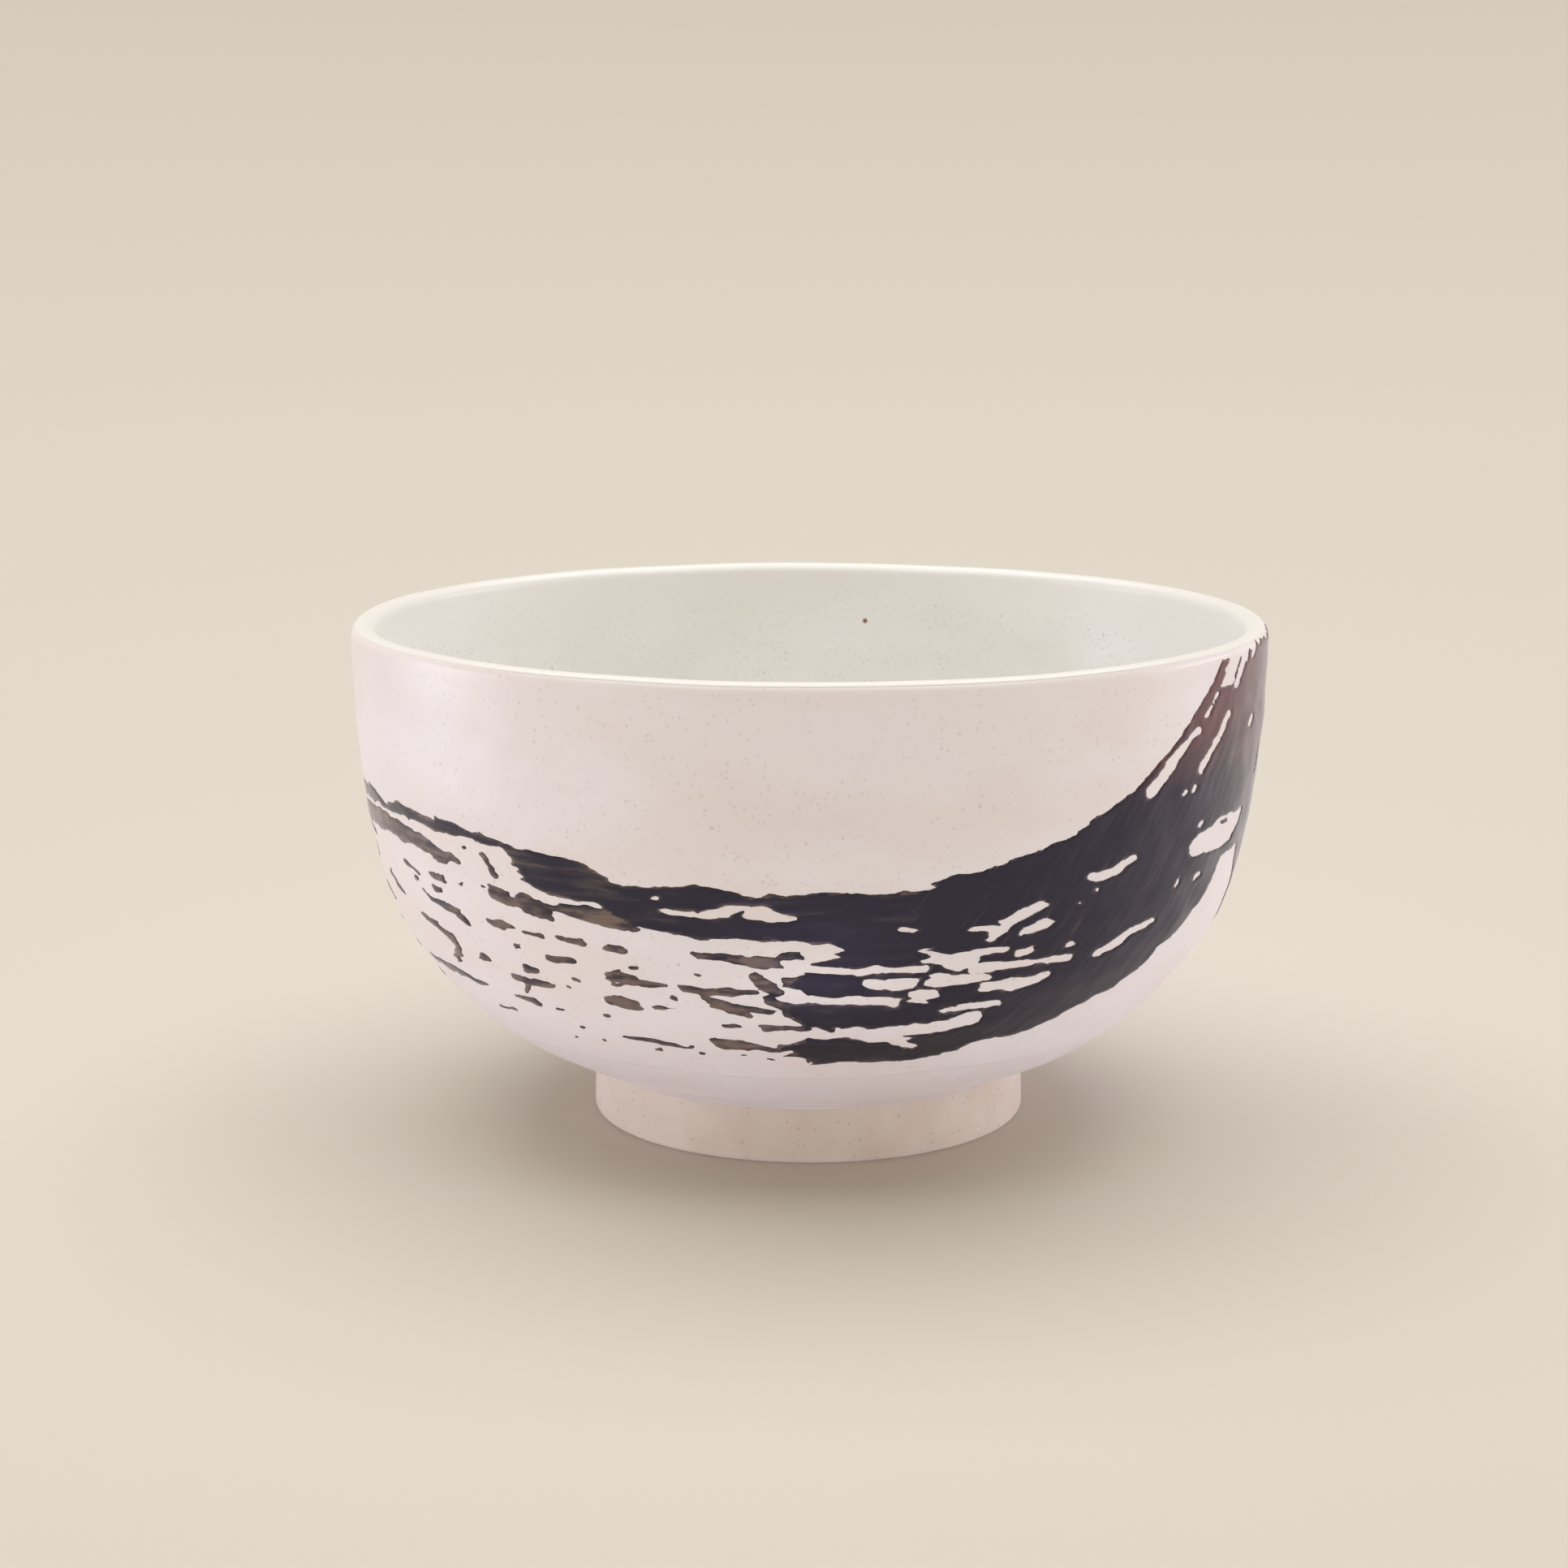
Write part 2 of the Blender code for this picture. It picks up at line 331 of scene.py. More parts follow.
# The first coat ends on the foot in a rounded roll of glaze, and the belly rises out of that.
wash_side = foot_radius + wash_skin - 0.15 * MM
fillet_centre = Vector((wash_side + fillet, foot_height + 0.15 * MM - fillet))
fillet_turns = [radians(180 - 83 * i / 8) for i in range(9)]
low_edge = [Vector((wash_side - wash_skin - 0.1 * MM, fillet_centre.y - 0.35 * MM))]
low_edge += [Vector((wash_side - 0.04 * MM, fillet_centre.y - 0.25 * MM))]
low_edge += [fillet_centre + Vector((cos(a), sin(a))) * fillet for a in fillet_turns]
belly_and_wall = [point for point in wall_outside() if point.x > low_edge[-1].x + 0.3 * MM]
outer_line = low_edge + belly_and_wall[:1]
for here, after in zip(belly_and_wall, belly_and_wall[1:]):
    pieces = 4 if abs(here.y - second_coat) < 1.4 * MM else 1
    outer_line += [here.lerp(after, i / pieces) for i in range(1, pieces + 1)]
outer_line += over_lip(0)[:5]
glaze_back = deeper(belly_and_wall, outer_skin, outer_skin)[::-1]
glaze_back += [Vector((foot_radius - 0.6 * MM, foot_height + 0.4 * MM))]
glaze_back += [Vector((foot_radius - 0.6 * MM, low_edge[0].y))]
outer = turn("outer_glaze_coat", glaze_back, outer_line + [glaze_back[0]])
ease_off(outer, bowl_height, 9 * MM)
ease_off(outer, foot_height, 5 * MM)
unevenness(outer, "throwing_ridges", (60 * MM, 60 * MM, 7 * MM), 0.50 * MM)
unevenness(outer, "glaze_thickness", (7 * MM, 7 * MM, 5 * MM), 0.42 * MM)

# Under its wavy edge, the second coat's thickness is taken off the outside again, less and less towards
# the foot. Then the roll of glaze at the foot is let down unevenly.
spots = np.empty(len(outer.data.vertices) * 3)
outer.data.vertices.foreach_get("co", spots)
spots = spots.reshape(-1, 3)
normals = np.empty(len(outer.data.vertices) * 3)
outer.data.vertices.foreach_get("normal", normals)
normals = normals.reshape(-1, 3)
angle = np.arctan2(spots[:, 0], -spots[:, 1])
edge = second_coat + 0.5 * MM * waves(angle, 14, 1) + 0.15 * MM * waves(angle, 60, 2)
below = np.clip((edge - spots[:, 2]) / (0.3 * MM) + 0.5, 0, 1)
faces_out = (normals[:, 0] * np.sin(angle) - normals[:, 1] * np.cos(angle)) > 0
settle = second_coat_step * below * faces_out * np.clip((spots[:, 2] - 9 * MM) / (4 * MM), 0, 1)
spots -= normals * settle[:, None]
droop = np.clip((fillet_centre.y + 0.15 * MM - spots[:, 2]) / (0.3 * MM), 0, 1)
spots[:, 2] += droop * (0.35 * MM * waves(angle, 11, 3) + 0.12 * MM * waves(angle, 45, 4))
outer.data.vertices.foreach_set("co", spots.ravel())
outer.data.update()
thin = outer.data.attributes.new("thinness", "FLOAT", "POINT")
wash = np.clip((foot_height + 1.2 * MM - spots[:, 2]) / (1.4 * MM), 0, 1)
thin.data.foreach_set("value", (0.25 * below + 0.75 * wash).astype(np.float32))


def glazed(name, pale, warm, speck_share, tint=None):
    """A white stoneware glaze.

    The melt is smooth and softly glossy, with an orange-peel swell about 2 mm wide, and it is a little
    warmer in clouds about 25 mm wide, where it lies thin. Iron from the clay bleeds through it as ragged
    specks 0.2 to 0.5 mm across, which crowd together here and there.
    """
    glaze = bpy.data.materials.new(name)
    glaze.use_nodes = True
    shader = glaze.node_tree.nodes["Principled BSDF"]
    place = node(glaze, "ShaderNodeTexCoord").outputs["Object"]
    flat = node(glaze, "ShaderNodeMapping", None, {"Vector": place, "Scale": (1.0, 1.0, 2.2)})
    cloud = node(
        glaze, "ShaderNodeTexNoise", None, {"Vector": flat.outputs[0], "Scale": 38.0, "Detail": 3.0}
    )
    blush = node(
        glaze, "ShaderNodeMapRange", None,
        {"Value": cloud.outputs["Fac"], "From Min": 0.38, "From Max": 0.72},
    )
    surface = node(
        glaze, "ShaderNodeMix", {"data_type": "RGBA"},
        {0: blush.outputs[0], 6: colour(pale), 7: colour(warm)},
    ).outputs[2]
    kinds = (  # cells to a metre, size in the cell, share of the cells, colour and strength
        (1500.0, 0.24, speck_share, "#AD9C8C", 0.26),
        (900.0, 0.15, speck_share * 0.5, "#9C8672", 0.30),
        (430.0, 0.070, speck_share * 0.2, "#96664C", 0.42),
    )
    bleed = node(glaze, "ShaderNodeTexNoise", None, {"Vector": place, "Scale": 2600.0, "Detail": 1.0})
    spread = node(
        glaze, "ShaderNodeVectorMath", {"operation": "MULTIPLY_ADD"},
        {0: bleed.outputs["Color"], 1: (0.45 * MM,) * 3, 2: place},
    ).outputs[0]
    drift = node(glaze, "ShaderNodeTexNoise", None, {"Vector": place, "Scale": 110.0, "Detail": 2.0})
    crowd = node(
        glaze, "ShaderNodeMapRange", None,
        {
            "Value": drift.outputs["Fac"], "From Min": 0.36, "From Max": 0.66,
            "To Min": 0.15, "To Max": 1.0,
        },
    ).outputs[0]
    for scale, size, share, shade, strength in kinds:
        cells = node(glaze, "ShaderNodeTexVoronoi", None, {"Vector": spread, "Scale": scale})
        dot = node(
            glaze, "ShaderNodeMapRange", None,
            {
                "Value": cells.outputs["Distance"], "From Min": size * 0.7, "From Max": size * 1.5,
                "To Min": strength, "To Max": 0.0,
            },
        )
        pick_some = node(glaze, "ShaderNodeSeparateColor", None, {"Color": cells.outputs["Color"]})
        chosen = node(
            glaze, "ShaderNodeMath", {"operation": "LESS_THAN"}, {0: pick_some.outputs["Green"], 1: share}
        )
        mask = node(
            glaze, "ShaderNodeMath", {"operation": "MULTIPLY"}, {0: dot.outputs[0], 1: chosen.outputs[0]}
        )
        mask = node(glaze, "ShaderNodeMath", {"operation": "MULTIPLY"}, {0: mask.outputs[0], 1: crowd})
        surface = node(
            glaze, "ShaderNodeMix", {"data_type": "RGBA"},
            {0: mask.outputs[0], 6: surface, 7: colour(shade)},
        ).outputs[2]
    if tint:
        surface = tint(glaze, place, surface)
    peel = node(glaze, "ShaderNodeTexNoise", None, {"Vector": place, "Scale": 420.0, "Detail": 2.0})
    swell = node(
        glaze, "ShaderNodeBump", None,
        {"Height": peel.outputs["Fac"], "Strength": 0.08, "Distance": 0.12 * MM},
    )
    wear = node(glaze, "ShaderNodeTexNoise", None, {"Vector": place, "Scale": 160.0, "Detail": 2.0})
    gloss = node(
        glaze, "ShaderNodeMapRange", None,
        {"Value": wear.outputs["Fac"], "From Min": 0.3, "From Max": 0.7, "To Min": 0.285, "To Max": 0.34},
    )
    glaze.node_tree.links.new(surface, shader.inputs["Base Color"])
    glaze.node_tree.links.new(swell.outputs["Normal"], shader.inputs["Normal"])
    glaze.node_tree.links.new(gloss.outputs[0], shader.inputs["Roughness"])
    shader.inputs["IOR"].default_value = 1.5
    shader.inputs["Sheen Weight"].default_value = 0.12
    shader.inputs["Sheen Roughness"].default_value = 0.3
    return glaze


def thin_wash(glaze, place, surface):
    """Where the coat thins out over the foot, the clay greys it."""
    thin = node(glaze, "ShaderNodeAttribute", {"attribute_name": "thinness"}).outputs["Fac"]
    share = node(glaze, "ShaderNodeMath", {"operation": "MULTIPLY"}, {0: thin, 1: 0.55})
    return node(
        glaze, "ShaderNodeMix", {"data_type": "RGBA"},
        {0: share.outputs[0], 6: surface, 7: colour("#DED4D0")},
    ).outputs[2]


white_glaze = glazed("warm_white_glaze", "#F1EDF3", "#EEE4E4", 0.30, thin_wash)
outer.data.materials.append(white_glaze)
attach(outer, "root")
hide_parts("outer_glaze")

# ---- Inner glaze -----------------------------------------------------------------------------------
# A thinner, greyer white glaze swilled round the inside and poured out. It rolls over the lip, where the
# outer coat's white shows through it, and its edge stands up as a fine line on the lip's shoulder.

inner_skin = 0.5 * MM
lap_step = 0.04 * MM
lip_steps = 20  # of 9 degrees, over the half round of the lip
lap_turn = 5  # steps up round the lip to where the inner coat's edge lies
lap_foot = pi * 0.235
shown_inside = [lip_centre + Vector((cos(lap_foot), sin(lap_foot))) * (lip_thickness / 2 - 0.03 * MM)]
for step in range(lap_turn, lip_steps):
    a = pi * step / lip_steps
    reach = lip_thickness / 2 + lap_step * (1 + cos(a)) / 2
    shown_inside.append(lip_centre + Vector((cos(a), sin(a))) * reach)
shown_inside += inside_line(0)
behind = over_lip(inner_skin, lip_steps)[lap_turn - 1 :] + inside_line(inner_skin)
inner = turn("inner_glaze_coat", behind[::-1], shown_inside)
ease_off(inner, bowl_height, 9 * MM)
unevenness(inner, "inner_swells", (16 * MM, 16 * MM, 9 * MM), 0.30 * MM)
for coat in (outer, inner):
    coat.vertex_groups.new(name="whole").add(range(len(coat.data.vertices)), 1, "REPLACE")
    unevenness(coat, "lip_wobble", (30 * MM, 30 * MM, 60 * MM), 0.40 * MM, group="whole", way="Z")


def lip_and_spot(glaze, place, surface):
    """White towards the lip, and one rust-brown spot where a grain of iron has melted into the glaze."""
    height = node(glaze, "ShaderNodeSeparateXYZ", None, {"Vector": place}).outputs["Z"]
    at_lip = node(
        glaze, "ShaderNodeMapRange", None,
        {"Value": height, "From Min": bowl_height - 9 * MM, "From Max": bowl_height - 1.5 * MM},
    )
    surface = node(
        glaze, "ShaderNodeMix", {"data_type": "RGBA"},
        {0: at_lip.outputs[0], 6: surface, 7: colour("#EFEDEC")},
    ).outputs[2]
    spot_place = (0.0088, 0.0558, 0.0583)
    away = node(
        glaze, "ShaderNodeVectorMath", {"operation": "DISTANCE"}, {0: place, 1: spot_place}
    )
    spot = node(
        glaze, "ShaderNodeMapRange", None,
        {
            "Value": away.outputs["Value"], "From Min": 0.22 * MM, "From Max": 0.48 * MM,
            "To Min": 0.95, "To Max": 0.0,
        },
    )
    return node(
        glaze, "ShaderNodeMix", {"data_type": "RGBA"},
        {0: spot.outputs[0], 6: surface, 7: colour("#7C3206")},
    ).outputs[2]


grey_glaze = glazed("grey_white_glaze", "#F1F1F2", "#E9E8E5", 0.60, lip_and_spot)
inner.data.materials.append(grey_glaze)
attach(inner, "root")
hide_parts("inner_glaze")

# ---- Brush stroke ----------------------------------------------------------------------------------
# Iron glaze laid over both white coats with a wide, half-dry brush, in one pull round the belly and up
# to the lip. It stands a little proud, thickest just inside its edges, and is bare where the bristles
# parted. The shapes below are in degrees round the bowl and millimetres of height.

SOLID = (
    (-112, 38), (-102, 42.4), (-88, 45), (-80, 46.5), (-72, 47.2), (-65, 46), (-61, 47.2),
    (-52, 46.2), (-51, 47.1), (-47, 46.4), (-40, 45.3), (-29, 44.6), (-23, 42), (-15, 42.6),
    (-8, 42), (-7, 41.3), (0, 42), (12, 41.7), (16, 43.6), (20, 44), (26, 45.7), (30, 46.8),
    (36, 49.5), (40, 51.6), (45, 54.8), (50, 58.9), (54, 62.4), (57.5, 65.6), (70, 65.8),
    (112, 65.7), (114, 62), (108, 52), (100, 40), (92, 31.5), (84, 27.5), (77, 28), (73.5, 31),
    (73, 36), (71, 40), (64, 39.4), (62.5, 37), (60.5, 34.8), (57.5, 32.5), (54.5, 30.5),
    (52, 29.6), (51, 27.9), (46, 25.4), (39, 23.4), (33, 20.9), (24, 20.2), (19, 18.4), (12, 18),
    (1, 18.2), (-1, 18.9), (-4, 19.4), (-2, 20.1), (-5, 20.5), (-4, 21.3), (-1, 22), (-1, 24.4),
    (-3, 25.8), (-3, 27.6), (-1, 28.6), (-3, 30), (-1.5, 31.4), (0, 32.4), (0, 33.2), (2.5, 33.9),
    (3, 34.8), (2, 35.6), (-4, 35.7), (-12, 35.8), (-18, 36.3), (-22, 37), (-24, 38), (-26, 39.2),
    (-33, 39.7), (-36, 40.6), (-38, 43.2), (-40, 44.4), (-50, 45), (-60, 45.3), (-75, 45.2),
    (-88, 43.6), (-100, 40.5), (-111, 36.5),
)
# Touches of the brush: lines of (degrees, height, half width) points. BARE ones leave the white showing
# inside the solid part, and DRY ones are the flecks of iron outside it.
BARE = (
    ((-17, 39.1, 0.3), (-12, 38.9, 0.45), (-9, 39.4, 0.8), (-6, 39.2, 0.8), (-3, 38.7, 0.4)),
    ((-18, 40.4, 0.2), (-17.6, 40.4, 0.2)), ((-5, 36.3, 0.15), (-4.4, 36.3, 0.15)),
    ((43.5, 51, 0.9), (47, 54.2, 0.8), (50, 56.4, 0.25), (52, 57.5, 0.5)),
    ((53.5, 59, 0.2), (57, 62, 0.3), (59.5, 63.5, 1.2), (61.5, 66, 0.9)),
    ((53.5, 52.5, 0.6), (56, 55, 0.35), (59.5, 58.5, 0.5)),
    ((61.5, 61.8, 0.4), (63.5, 64, 0.5), (65.5, 66.2, 0.5)), ((67.5, 64.6, 0.2), (70, 66.6, 0.5)),
    ((50, 50, 0.3), (50.4, 50.3, 0.3)), ((52, 50.2, 0.3), (52.4, 50.5, 0.35)),
    ((67.5, 56, 0.5), (68.5, 56.8, 0.4)), ((54.6, 45, 0.25), (55, 45.2, 0.25)),
    ((54.5, 42.3, 1.2), (60, 43, 2), (65, 43, 1.9), (68.5, 44.2, 0.9)),
    ((35.5, 41.5, 0.8), (38.5, 41.8, 0.6), (42, 43, 0.3)), ((36, 39.7, 0.15), (36.2, 39.7, 0.15)),
    ((33.8, 38.5, 0.15), (34, 38.5, 0.15)), ((11, 37, 0.25), (12, 37, 0.2)),
    ((19.6, 36.8, 0.2), (21.5, 36.3, 0.4), (22.6, 35.4, 0.6), (23.3, 36.9, 0.6),
     (26, 38, 0.65), (28.5, 38.6, 0.5)),
    ((26.5, 35.6, 0.4), (29.5, 36.2, 0.6)), ((-1, 34.7, 0.9), (2, 34.6, 0.7)),
    ((14, 34, 0.5), (15, 33, 0.8), (17, 32.4, 1), (20, 32.6, 0.8)), ((20, 33.2, 0.5), (24, 33.5, 0.3)),
    ((-1, 31.9, 0.45), (5, 31.8, 0.35), (13, 31.9, 0.5)),
    ((7, 30.1, 0.6), (10, 29.9, 0.7), (13, 30.2, 0.5)), ((15, 30.2, 0.7), (22, 30.2, 0.6)),
    ((20, 31.2, 0.5), (34, 31.2, 0.35)), ((26, 32.8, 0.5), (28, 33.2, 0.35)),
    ((22.5, 28.7, 0.8), (27, 28.8, 0.9), (31, 29.2, 0.4)),
    ((13.2, 28.2, 0.8), (14.5, 28, 1), (15.5, 28.4, 0.6)),
    ((-3, 28, 0.5), (4, 27.8, 0.45), (10.5, 27.5, 0.6)), ((17.5, 26, 0.35), (25, 26, 0.35)),
    ((38.5, 31.2, 0.4), (41, 31.9, 0.7), (44, 33.2, 0.5), (48, 33.8, 0.35)),
    ((33.4, 33, 0.3), (33.8, 33, 0.3)),
    ((-2, 23.2, 0.8), (5, 23.1, 0.7), (12, 23.1, 0.8), (18, 23.6, 0.9), (22, 24.2, 0.9)),
    ((5, 22.6, 0.4), (8, 22.3, 0.6), (11, 22.2, 0.5), (13, 21.3, 0.8), (14.5, 20.4, 0.3)),
    ((51.3, 38, 0.2), (51.8, 38.3, 0.2)), ((56.3, 38, 0.3), (57, 38.4, 0.3)),
    ((75, 49, 0.4), (77, 51.5, 0.3)), ((80, 58, 0.3), (83, 63, 0.5)),
    ((88, 40, 0.6), (92, 44, 0.8), (95, 49, 0.3)), ((97, 52, 0.4), (101, 60, 0.6), (103, 65, 0.5)),
    ((105, 56, 0.3), (108, 63, 0.5)), ((86, 33, 0.3), (89, 35, 0.4)),
)
DRY = (
    ((-100, 37.5, 0.6), (-88, 41.6, 1.1), (-75, 43.3, 1.3), (-65, 43.5, 1.3),
     (-56, 42.8, 1.1), (-48, 41.8, 0.3)),
    ((-9.2, 38.3, 0.4), (-8.2, 39.3, 0.3)), ((1.5, 23.9, 0.3), (2.5, 23.7, 0.4)),
    ((-31, 38.1, 0.7), (-28, 37.9, 1.1), (-25, 37.2, 1.1), (-22, 36.9, 0.8)),
    ((-26, 39.4, 0.3), (-24, 38.4, 0.5)), ((-37.2, 38.1, 1.1), (-34.5, 37.5, 1.2), (-33, 36.6, 0.5)),
    ((-35, 38.1, 0.35), (-30, 38.1, 0.4)), ((-42, 38.9, 0.8), (-40, 38.2, 1), (-38.6, 37.6, 0.5)),
    ((-44.5, 39.2, 0.15), (-43.5, 39.2, 0.15)), ((-42.8, 43.3, 0.35), (-42, 42, 0.45), (-41, 41, 0.4)),
    ((-46.2, 43.5, 0.2), (-45.8, 43.5, 0.2)), ((-53, 41.4, 0.4), (-50, 41.3, 0.3)),
    ((-62, 39.3, 0.3), (-60, 39, 0.3), (-58.5, 38.2, 0.25)), ((-60, 37.5, 0.2), (-59, 37.3, 0.3)),
    ((-54.5, 38.7, 0.4), (-52, 38.6, 0.4)), ((-55, 37, 0.4), (-53, 36.9, 0.35)),
    ((-48, 38.7, 0.2), (-47.7, 38.7, 0.2)), ((-69.5, 36.5, 0.5), (-66, 34.2, 0.4)),
    ((-58, 36, 0.2), (-54, 35.2, 0.35), (-50, 34.5, 0.65), (-48, 33.4, 0.25)),
    ((-44.5, 34.6, 0.2), (-42, 34.4, 0.5), (-39.8, 34.5, 0.3)), ((-38, 34, 0.2), (-35, 34, 0.3)),
    ((-32.5, 33.9, 0.25), (-29, 33.7, 0.4)), ((-25.5, 33.6, 0.5), (-23, 33.4, 0.4)),
    ((-14.5, 33.8, 0.25), (-11, 33.5, 0.5), (-7, 33, 0.8), (-4, 32.7, 0.4)),
    ((-3.5, 33.8, 0.5), (-1.5, 33.9, 0.5)),
    ((-61, 32.3, 0.3), (-57, 31.8, 0.5), (-53.5, 30.6, 0.7), (-53, 29, 0.6), (-55, 27.8, 0.5)),
    ((-40, 31.9, 0.2), (-39.5, 31.9, 0.2)), ((-35, 31.2, 0.35), (-31, 31, 0.4)),
    ((-23.5, 31.2, 0.2), (-22.5, 31.2, 0.2)), ((-15, 31.2, 0.2), (-14, 31.2, 0.2)),
    ((-48, 29.2, 0.5), (-46, 29.1, 0.35)), ((-39.5, 29, 0.5), (-38, 28.9, 0.4)),
    ((-32, 28.7, 0.15), (-31, 28.7, 0.2)), ((-26, 28.6, 0.3), (-25, 28.5, 0.3)),
    ((-26.5, 29.7, 0.6), (-24.5, 29.8, 1.0), (-22.5, 29.3, 0.5), (-18.5, 28.9, 0.12)),
    ((-16.5, 28.9, 0.35), (-11, 28.8, 0.5), (-7.5, 29, 0.4)),
    ((-7.2, 31, 0.5), (-6, 30.2, 0.9), (-4.5, 29, 0.6)), ((-3, 30.4, 0.7), (0, 30.1, 1)),
    ((-5.5, 28.2, 0.4), (-4, 27.2, 0.8), (-2, 26.3, 1), (1, 26.2, 1)),
    ((-13.2, 27.6, 0.5), (-11, 26.9, 0.8), (-8, 25.6, 0.4)), ((-9, 26.5, 0.3), (-5, 26.3, 0.4)),
    ((-43, 27.6, 0.4), (-40, 27.2, 0.6), (-35.5, 27.2, 0.2)), ((-41, 26.5, 0.5), (-41.5, 25.4, 0.4)),
    ((-44.5, 24.4, 0.2), (-40.5, 24.2, 0.5)), ((-33.3, 27.3, 0.2), (-32.8, 27.3, 0.2)),
    ((-27.5, 26.2, 0.5), (-25, 26, 0.8), (-23, 26, 0.5)), ((-21, 26, 0.15), (-18, 26, 0.15)),
    ((-18.5, 27.5, 0.15), (-18, 27.5, 0.15)), ((-68, 25.6, 0.3), (-60, 25.1, 0.6), (-51, 24.8, 0.35)),
    ((-37, 23.7, 0.2), (-36, 23.7, 0.2)), ((-29, 23.8, 0.15), (-28.4, 23.8, 0.2)),
    ((-12, 23.9, 0.2), (-9.3, 23.9, 0.25)), ((-6.5, 23.9, 0.35), (0, 23.8, 0.4)),
    ((-51, 21.6, 0.3), (-47.7, 21.6, 0.2)), ((-34.8, 21.1, 0.15), (-34.2, 21.1, 0.15)),
    ((-27.5, 21, 0.15), (-22, 20.7, 0.45), (-17.2, 20.3, 0.15)),
    ((-13.3, 21.9, 0.5), (-12, 21.2, 0.9), (-8, 20.9, 0.6), (-4, 20.4, 0.15)),
    ((-37.4, 19.5, 0.12), (-37, 19.5, 0.12)), ((-31.8, 19.7, 0.15), (-31.2, 19.7, 0.15)),
    ((-23, 19.3, 0.2), (-22.4, 19.3, 0.25)), ((-16.4, 19.3, 0.2), (-15.6, 19.3, 0.15)),
    ((-10, 19.2, 0.15), (-9.2, 19.2, 0.12)), ((-6, 18.9, 0.15), (-5.2, 18.9, 0.15)),
    ((61.5, 44.3, 0.3), (63, 44.1, 0.3)), ((75, 26, 0.3), (80, 25.5, 0.4)),
    ((-1, 18.7, 0.12), (1.5, 18.9, 0.1)), ((-80, 40.5, 0.5), (-75, 40.6, 0.3)),
    ((-92, 36, 0.3), (-84, 37, 0.7), (-80, 36.8, 0.2)),
    ((-106, 34, 0.3), (-98, 34.5, 0.5), (-94, 34.2, 0.2)),
    ((-84, 33, 0.2), (-78, 32.6, 0.5), (-74, 31.8, 0.2)),
    ((-90, 29.6, 0.2), (-84, 29.2, 0.45), (-78, 28.6, 0.2)), ((-100, 31, 0.2), (-96, 30.8, 0.3)),
    ((-88, 25.8, 0.2), (-80, 25.4, 0.5), (-74, 25.4, 0.2)), ((-74, 22.4, 0.2), (-70, 22.2, 0.3)),
)
mm_per_degree = 0.98  # round the wall, 56 mm from the axis
stroke_low, stroke_high = 17.0, 66.3
stroke_start, stroke_end = -116.0, 118.0
film_thickness = 0.14 * MM
edge_width = 0.55  # how far in from its edge the film reaches full thickness, in millimetres
bead_height = 0.14  # of the ridge there, as a share of the film
bead_width = 0.35


def to_line(x, z, a, b):
    """How far points are from the line a-b, and how far along it they are, from 0 to 1."""
    run_x, run_z = b[0] - a[0], b[1] - a[1]
    along = ((x - a[0]) * run_x + (z - a[1]) * run_z) / (run_x**2 + run_z**2)
    along = np.clip(along, 0, 1)
    return np.hypot(x - a[0] - along * run_x, z - a[1] - along * run_z), along


def inside_outline(x, z, outline):
    """How deep points lie inside a closed outline, negative outside it."""
    nearest = np.full(x.shape, 100.0)
    inside = np.zeros(x.shape, bool)
    for a, b in zip(outline, outline[1:] + outline[:1]):
        nearest = np.minimum(nearest, to_line(x, z, a, b)[0])
        if a[1] != b[1]:
            crossing = a[0] + (z - a[1]) * (b[0] - a[0]) / (b[1] - a[1])
            inside ^= ((a[1] > z) != (b[1] > z)) & (x < crossing)
    return np.where(inside, nearest, -nearest)


def inside_touches(x, z, touches):
    """How deep points lie inside the nearest of some touches of the brush."""
    deepest = np.full(x.shape, -100.0)
    for touch in touches:
        for a, b in zip(touch, touch[1:]):
            away, along = to_line(x, z, a, b)
            deepest = np.maximum(deepest, a[2] + (b[2] - a[2]) * along - away)
    return deepest


def in_mm(shape):
    """A shape with its degrees turned to millimetres round the wall."""
    return tuple((point[0] * mm_per_degree, *point[1:]) for point in shape)


# A flat sheet of points about 0.5 by 0.2 mm apart. Random swells fray its edges: each swells() divides by
# their width and height in millimetres, and adds what only picks another part of the random field.
bpy.ops.object.select_all(action="DESELECT")
bpy.ops.mesh.primitive_grid_add(x_subdivisions=470, y_subdivisions=235, size=1, calc_uvs=False)
stroke = bpy.context.object
stroke.name = stroke.data.name = "iron_brush_stroke"
spots = np.empty(len(stroke.data.vertices) * 3)
stroke.data.vertices.foreach_get("co", spots)
spots = spots.reshape(-1, 3) + (0.5, 0.5, 0)
x = (stroke_start + (stroke_end - stroke_start) * spots[:, 0]) * mm_per_degree
z = stroke_low + (stroke_high - stroke_low) * spots[:, 1]
level_pull = np.clip((42 - x) / 25, 0.08, 1)  # the bristles' tongues point sideways, but not on the rise
tongues = 0.9 * swells(x / 4.5 + 170, z / 0.45 + 20, 3) + 0.35 * swells(x / 1.6 + 280, z / 0.6, 6)
ragged_x = x + tongues * level_pull
ragged_z = z + 0.25 * swells(x / 2.6 + 190, z / 1.4 + 50, 4)
at_lip = 0.7 * swells(x / 0.8 + 400, z / 7 + 10, 8) * np.clip((z - 60) / 5, 0, 1)
ragged = at_lip + 0.17 * swells(x / 1.5 + 140, z / 0.6 + 9, 1)
ragged += 0.11 * swells(x / 0.55 + 300, z / 0.36, 2)
solid = inside_outline(ragged_x, ragged_z, in_mm(SOLID))
bare = inside_touches(ragged_x, ragged_z, [in_mm(touch) for touch in BARE])
dry = inside_touches(x + 0.6 * tongues, ragged_z, [in_mm(touch) for touch in DRY]) + 0.10
depth = np.maximum(np.minimum(solid, -bare), dry) + ragged

